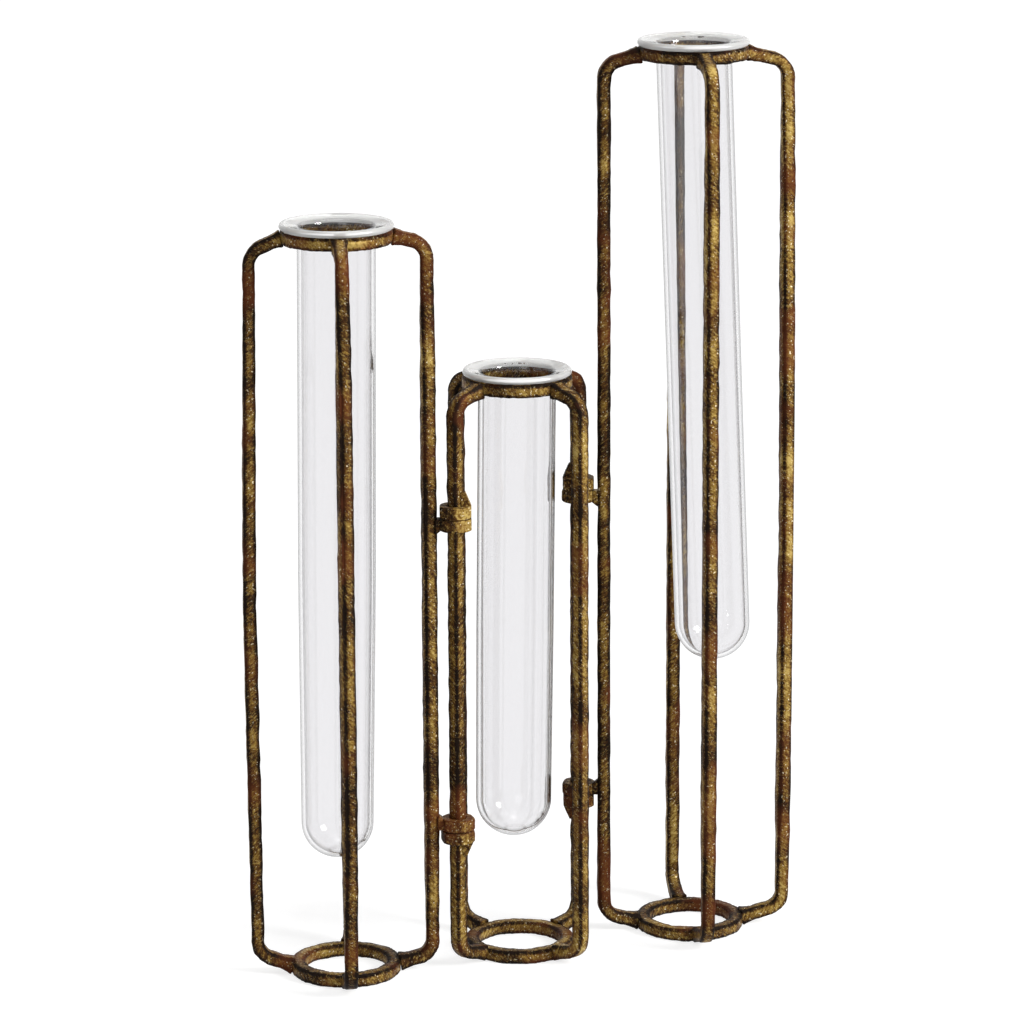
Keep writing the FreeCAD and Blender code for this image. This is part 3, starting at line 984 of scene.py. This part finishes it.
@dataclass(kw_only=True)
class TestTube:
    """A round-bottomed tube hung by a flat lip, its body leaning a little under the level lip.

    Attributes:
        name: The cage that it hangs in.
        neck_radius, end_radius, lip_radius: Outside of the body under the lip, the round end and the lip.
        lean, lean_angle: Degrees that the body leans, and the compass angle that its foot leans to.
        dish: Depth of the lip's hollow at the bore.
        flare_start, level_share, lip_share: In lip heights below its top, where the flare starts, how far the
            glass stays level and how far the lip's own glass goes.
        fillet: Reach and drop of the fillet under the lip.
        rim_slope, throat: Points of the lip's top inwards from its rounded rim, and from the dish into the
            bore: a share of half the lip's height from the rim or the bore, and a drop.
        taper_share: Share of the length, from the top, where the body starts to taper to its end.
        crease: Degrees above which an edge stays sharp.
    """

    name: str
    neck_radius: float
    end_radius: float
    lip_radius: float
    length: float
    lean: float
    lean_angle: float
    finish: Finish
    lip_finish: Finish
    wall: float = 1.3 * MM
    lip_height: float = 2.2 * MM
    dish: float = 0.9 * MM
    flare: float = 0.5 * MM
    flare_start: float = 2.2
    level_share: float = 1.1
    lip_share: float = 1.3
    fillet: Pair = (0.2 * MM, 0.15 * MM)
    rim_slope: Sequence[Pair] = ((0.5, 0.14 * MM), (1.0, 0.38 * MM))
    throat: Sequence[Pair] = ((1.0, 0.0), (0.5, 0.35 * MM), (0.15, 0.9 * MM), (0.0, 1.7 * MM))
    taper_share: float = 0.55
    crease: float = 40.0
    segments: int = 128
    round_steps: int = 14
    bead_steps: int = 8
    seam: float = 0.005 * MM

    def outline(self) -> List[Pair]:
        """Half section of the glass, from the outside of the round end over the lip to the inside.

        Returns:
            Points as distance from the axis and height from the lip's top.
        """
        half = self.lip_height / 2
        collar = self.neck_radius + self.flare
        rim = self.lip_radius - half
        bore = self.neck_radius - self.wall
        taper = -self.length * self.taper_share
        points = self.round_end(0.0)
        points += [(self.neck_radius, taper), (self.neck_radius, -self.lip_height * self.flare_start),
                   (collar, -self.lip_height - self.fillet[1]), (collar + self.fillet[0], -self.lip_height)]
        for step in range(self.bead_steps + 1):
            turn = -math.pi / 2 + math.pi * step / self.bead_steps
            points.append((rim + half * math.cos(turn), -half + half * math.sin(turn)))
        points += [(rim - half * share, -drop) for share, drop in self.rim_slope]
        points += [(bore + half * share, -self.dish - drop) for share, drop in self.throat]
        points.append((bore, taper))
        return points + self.round_end(self.wall)[::-1]

    def round_end(self, shrink: float) -> List[Pair]:
        """Points of the round end from the axis up to its widest place.

        Args:
            shrink: How far inside the outer surface they lie.

        Returns:
            Points as in the outline.
        """
        radius = self.end_radius - shrink
        middle = -self.length + self.end_radius
        points = []
        for step in range(self.round_steps + 1):
            turn = math.pi / 2 * step / self.round_steps
            points.append((radius * math.sin(turn), middle - radius * math.cos(turn)))
        return points

    def build(self) -> Piece:
        """Draws the half section, spins it into a tube and leans its body.

        Returns:
            The finished tube.
        """
        node = f"{self.name}_tube"
        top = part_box(node)[1][2]
        ring = node_centre(f"{self.name}_top_ring")
        tube = add_primitive(bpy.ops.mesh.primitive_plane_add, f"{node}_glass", size=MM)
        start_edit(tube)
        bpy.ops.mesh.merge(type="CENTER")
        points = self.outline()
        bpy.ops.transform.translate(value=(points[0][0], 0, points[0][1]))
        for before, after in zip(points, points[1:]):
            step = (after[0] - before[0], 0, after[1] - before[1])
            bpy.ops.mesh.extrude_region_move(TRANSFORM_OT_translate={"value": step})
        bpy.ops.mesh.select_all(action="SELECT")
        bpy.ops.mesh.spin(steps=self.segments, angle=math.tau, center=(0, 0, 0), axis=(0, 0, 1))
        close_shell(self.seam)
        self.lean_body(tube)
        self.glaze(tube)
        tube.location = (ring.x, ring.y, top)
        settle(tube)
        bpy.ops.object.shade_smooth_by_angle(angle=math.radians(self.crease))
        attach(tube, node)
        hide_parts(node)
        return tube

    def lean_body(self, tube: Piece) -> None:
        """Tilts all that lies below the lip about the middle of the lip's top.

        Args:
            tube: The tube, drawn with the middle of its lip's top at the origin.
        """
        turn = math.radians(self.lean_angle)
        tilt = Matrix.Rotation(math.radians(self.lean), 4, Vector((math.sin(turn), -math.cos(turn), 0)))
        for vertex in tube.data.vertices:
            if vertex.co.z < -self.lip_height * self.level_share:
                vertex.co = tilt @ vertex.co

    def glaze(self, tube: Piece) -> None:
        """Gives the lip its own glass, partly milky white as painted reflection, and the rest of the tube the
        clear one.

        Args:
            tube: The tube, still about the origin.
        """
        tube.data.materials.clear()
        tube.data.materials.append(self.finish)
        tube.data.materials.append(self.lip_finish)
        outside_bore = self.neck_radius - self.wall / 4
        for face in tube.data.polygons:
            from_axis = math.hypot(face.center.x, face.center.y)
            face.material_index = int(face.center.z > -self.lip_height * self.lip_share
                                      and from_axis > outside_bore)


def add_object(name: str, data: bpy.types.ID) -> bpy.types.Object:
    """Adds an object for a camera or a lamp.

    Args:
        name: Its name.
        data: The camera or lamp.

    Returns:
        The new object.
    """
    made = bpy.data.objects.new(name, data)
    bpy.context.scene.collection.objects.link(made)
    return made


@dataclass(frozen=True)
class Softbox:
    """A square area lamp."""

    name: str
    place: Place
    size: float
    power: float

    def hang(self, aim: Place) -> None:
        """Hangs the lamp at its place.

        Args:
            aim: Where it shines to.
        """
        data = bpy.data.lights.new(self.name, "AREA")
        data.shape = "SQUARE"
        data.size = self.size
        data.energy = self.power
        lamp = add_object(self.name, data)
        lamp.location = self.place
        lamp.rotation_euler = (Vector(aim) - Vector(self.place)).to_track_quat("-Z", "Y").to_euler()


@dataclass(frozen=True)
class Studio:
    """A white table and soft light, with the camera where the photograph was taken from.

    Attributes:
        camera_offset: The camera's place from the middle cage's foot.
        pitch, roll: Degrees that the camera looks down, and is turned about its own axis.
        near_reach, far_reach: Distances from the vase's middle between which near values go to far ones.
        near_share, far_share: How much of the shown floor is its own even white, which hides shadows.
        near_white, far_white: Strength of that white.
        fill: Strength of the even light from all round.
    """

    camera_offset: Place = (-1.815 * MM, -1383.89 * MM, 474.07 * MM)
    pitch: float = 13.42
    roll: float = -0.27
    lens: float = 159.16
    sensor_width: float = 36.0
    clip_range: Pair = (0.05, 50.0)
    floor_size: float = 8.0
    floor_gap: float = 0.05 * MM
    paper_grey: float = 0.86
    near_reach: float = 0.08
    far_reach: float = 0.14
    near_share: float = 0.55
    far_share: float = 0.93
    near_white: float = 1.4
    far_white: float = 1.15
    fill: float = 0.18
    aim: Place = (0.0, 0.0, 0.15)
    lamps: Sequence[Softbox] = (
        Softbox("key", (1.4, -0.65, 0.95), size=0.6, power=31.0),
        Softbox("front", (-0.5, -1.4, 0.6), size=0.8, power=2.0),
        Softbox("top", (0.05, -0.1, 1.5), size=1.0, power=7.0))

    def build(self) -> None:
        """Sets up the camera, the floor, the world and the lamps."""
        self.place_camera()
        self.lay_floor()
        self.light_world()
        for lamp in self.lamps:
            lamp.hang(self.aim)
        bpy.context.scene.view_settings.view_transform = "Standard"

    def place_camera(self) -> None:
        """Puts the camera before the middle cage's foot."""
        foot = node_centre("middle_bottom_ring")
        place = Vector((foot.x, foot.y, 0)) + Vector(self.camera_offset)
        data = bpy.data.cameras.new("camera")
        data.lens = self.lens
        data.sensor_width = self.sensor_width
        data.sensor_fit = "HORIZONTAL"
        data.clip_start, data.clip_end = self.clip_range
        camera = add_object("camera", data)
        downward = Matrix.Rotation(math.radians(90 - self.pitch), 4, "X")
        rolled = Matrix.Rotation(math.radians(self.roll), 4, "Z")
        camera.matrix_world = Matrix.Translation(place) @ downward @ rolled
        bpy.context.scene.camera = camera

    def lay_floor(self) -> None:
        """Lays a white floor that shows a faint shadow round the vase and pure white further off."""
        floor = add_primitive(bpy.ops.mesh.primitive_plane_add, "floor", size=self.floor_size,
                              location=(0, 0, -self.floor_gap))
        paper = bpy.data.materials.new("white_paper")
        nodes = NodeTree(paper)
        place = nodes.add("TexCoord").outputs["Object"]
        distance = nodes.add("VectorMath", {0: place}, operation="LENGTH").outputs["Value"]
        white_share = self.faded(nodes, distance, self.near_share, self.far_share)
        white_strength = self.faded(nodes, distance, self.near_white, self.far_white)
        share = nodes.math("MULTIPLY", nodes.shown(), white_share)
        diffuse = nodes.add("BsdfDiffuse", {"Color": grey(self.paper_grey)})
        white = nodes.add("Emission", {"Color": grey(1.0), "Strength": white_strength})
        both = nodes.add("MixShader", {0: share, 1: diffuse.outputs[0], 2: white.outputs[0]})
        nodes.add("OutputMaterial", {"Surface": both.outputs[0]})
        floor.data.materials.append(paper)
        floor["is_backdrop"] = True

    def faded(self, nodes: NodeTree, distance: Socket, near: float, far: float) -> Socket:
        """Value that goes from a near one to a far one with the distance from the vase."""
        reach = {"Value": distance, "From Min": self.near_reach, "From Max": self.far_reach}
        return nodes.add("MapRange", {**reach, "To Min": near, "To Max": far}).outputs[0]

    def light_world(self) -> None:
        """Lights evenly, and shows white where the background is seen or mirrored."""
        world = bpy.data.worlds.new("studio")
        bpy.context.scene.world = world
        nodes = NodeTree(world)
        fill = nodes.add("Background", {"Color": grey(1.0), "Strength": self.fill})
        white = nodes.add("Background", {"Color": grey(1.0), "Strength": 1.0})
        both = nodes.add("MixShader", {0: nodes.shown(), 1: fill.outputs[0], 2: white.outputs[0]})
        nodes.add("OutputWorld", {"Surface": both.outputs[0]})


def main() -> None:
    """Builds the vase and its studio."""
    logging.basicConfig(level=logging.INFO, format="%(message)s")
    cad_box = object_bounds()
    stock = SquareStock()
    hammering = Hammering(room=tuple(Vector(corner) for corner in cad_box))
    forged = GildedPatina("gilded_bar", Metalwork.FORGED).material()
    nuts = GildedPatina("gilded_nut", Metalwork.NUT).material()
    glass = ClearGlass("clear_glass").material()
    # The lip's glass is partly milky white with grey edges: painted reflection, standing for the white
    # surroundings and dark edges that clear glass shows.
    lip_glass = ClearGlass("lip_glass", tint=(1.0, 1.0, 0.985, 1.0), edge=(0.4, 0.41, 0.4, 1.0),
                           painted_edge_start=0.9, painted_edge_end=0.99, transmission=0.58, ior=1.85).material()
    for name, bars in BARS.items():
        for piece in Cage(name, bars, stock, hammering, forged).build():
            log.info("%s: %d faces", piece.name, len(piece.data.polygons))
    for side in ("left", "right"):
        for piece in Hinge(side, hammering, nuts).dress():
            log.info("%s: dressed", piece.name)
    finishes = {"finish": glass, "lip_finish": lip_glass}
    tubes = (
        TestTube(name="left", neck_radius=12.15 * MM, end_radius=11.4 * MM, lip_radius=17.7 * MM,
                 length=202.0 * MM, lean=0.65, lean_angle=180.0, **finishes),
        TestTube(name="middle", neck_radius=12.25 * MM, end_radius=12.0 * MM, lip_radius=17.1 * MM,
                 length=152.0 * MM, lean=0.7, lean_angle=180.0, **finishes),
        TestTube(name="right", neck_radius=11.9 * MM, end_radius=12.0 * MM, lip_radius=17.6 * MM,
                 length=200.0 * MM, lean=2.1, lean_angle=0.0, **finishes))
    for tube in tubes:
        log.info("%s: %d faces", tube.name, len(tube.build().data.polygons))
    Studio().build()


if __name__ == "__main__":
    main()
